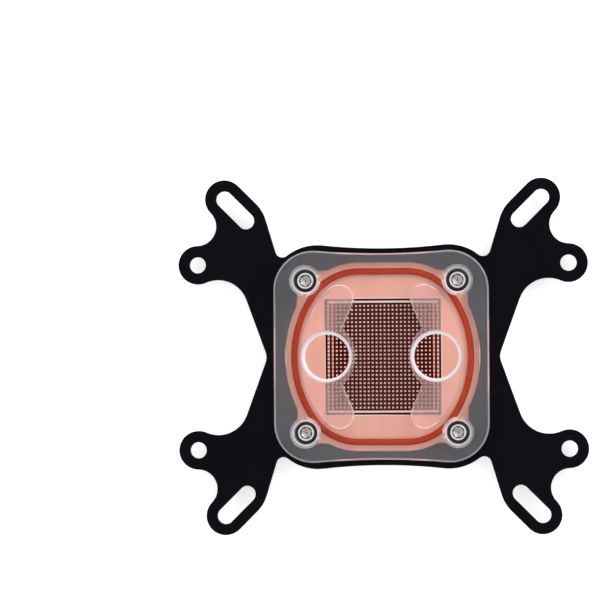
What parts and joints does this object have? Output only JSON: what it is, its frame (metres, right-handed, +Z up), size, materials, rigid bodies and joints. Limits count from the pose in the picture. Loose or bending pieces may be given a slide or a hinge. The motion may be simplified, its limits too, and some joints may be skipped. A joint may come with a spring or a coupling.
{
  "type": "cpu water block",
  "caption": "Water block that cools a processor: copper plate with a pin field, clear top with two threaded ports, seal, and a steel bracket with mounting holes and slots",
  "frame": {"origin": "middle of the cold plate's lower face, which is the face that meets the chip", "axes": "+Z up through the ports, +X from the left port to the right port, +Y toward the upper edge in the picture"},
  "size_m": [0.106, 0.092, 0.018],
  "materials": {
    "copper": "machined copper, fly-cut underneath",
    "silicone": "soft orange-red silicone",
    "black_steel": "black powder coat",
    "clear_acrylic": "clear, polished outside and milled underneath",
    "plated_steel": "bright plated steel"
  },
  "bodies": {
    "root": {"cold_plate": "copper", "seal_ring": "silicone", "mounting_bracket": "black_steel", "clear_top": "clear_acrylic", "lid_screws": "plated_steel"}
  },
  "joints": []
}
